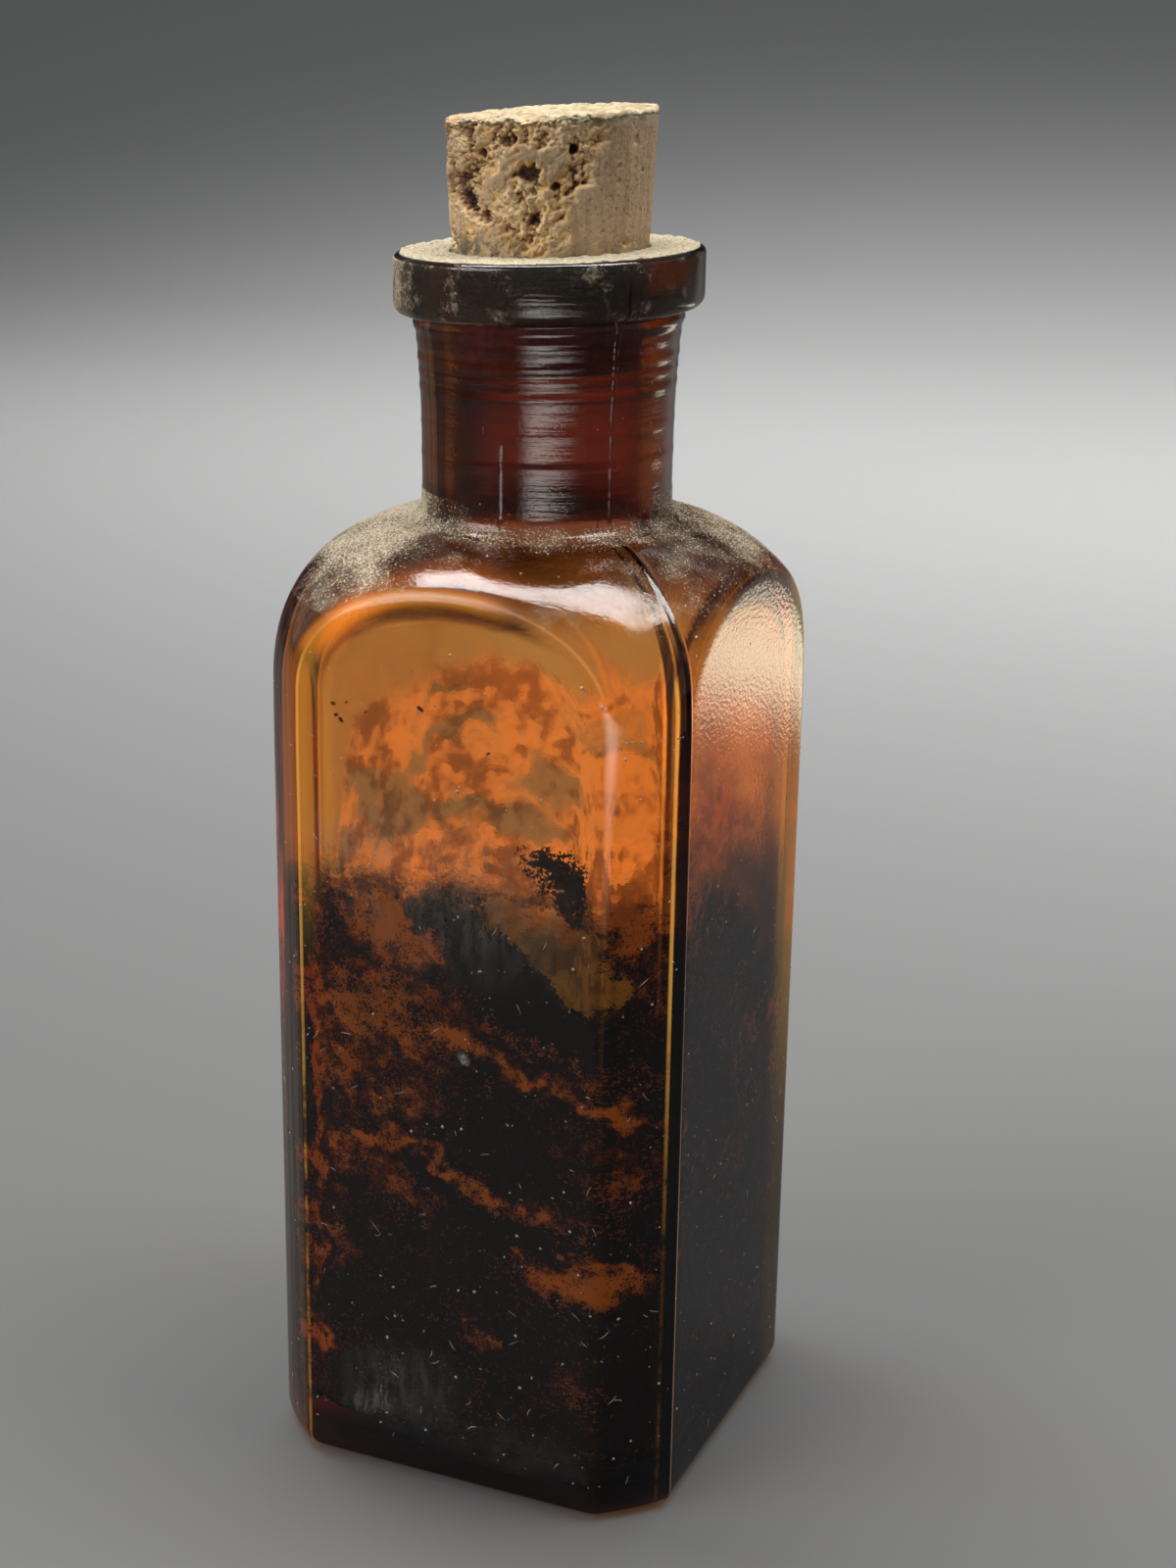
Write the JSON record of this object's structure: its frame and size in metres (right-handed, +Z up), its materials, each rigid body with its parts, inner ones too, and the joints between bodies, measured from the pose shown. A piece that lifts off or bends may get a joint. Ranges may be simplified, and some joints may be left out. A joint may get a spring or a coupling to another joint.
{
  "type": "apothecary bottle",
  "caption": "Square amber glass druggist's bottle with a round neck, tooled lip, worn tapered cork that pulls out, and dried dark residue inside.",
  "frame": {"origin": "on the table, under the middle of the base", "axes": "+Z up along the neck's bore, -Y out of the wide front face, +X out of the right-hand face"},
  "size_m": [0.041, 0.041, 0.1271],
  "materials": {
    "amber_glass": "old mould-blown amber glass, glossy, slightly uneven, dusty on the shoulder and lip",
    "cork": "dry natural cork, crumbled and pitted on one side",
    "rust_crust": "thin dried rust-brown and black crust, matte and patchy",
    "dark_cake": "dried black-brown cake, matte"
  },
  "bodies": {
    "bottle": {"glass_bottle": "amber_glass", "residue_film": "rust_crust", "residue_cake": "dark_cake"},
    "cork": {"cork_stopper": "cork"}
  },
  "joints": [
    {"name": "cork_pull", "type": "slide", "parent": "bottle", "child": "cork", "axis": [0, 0, 1], "range_m": [0, 0.016]}
  ]
}
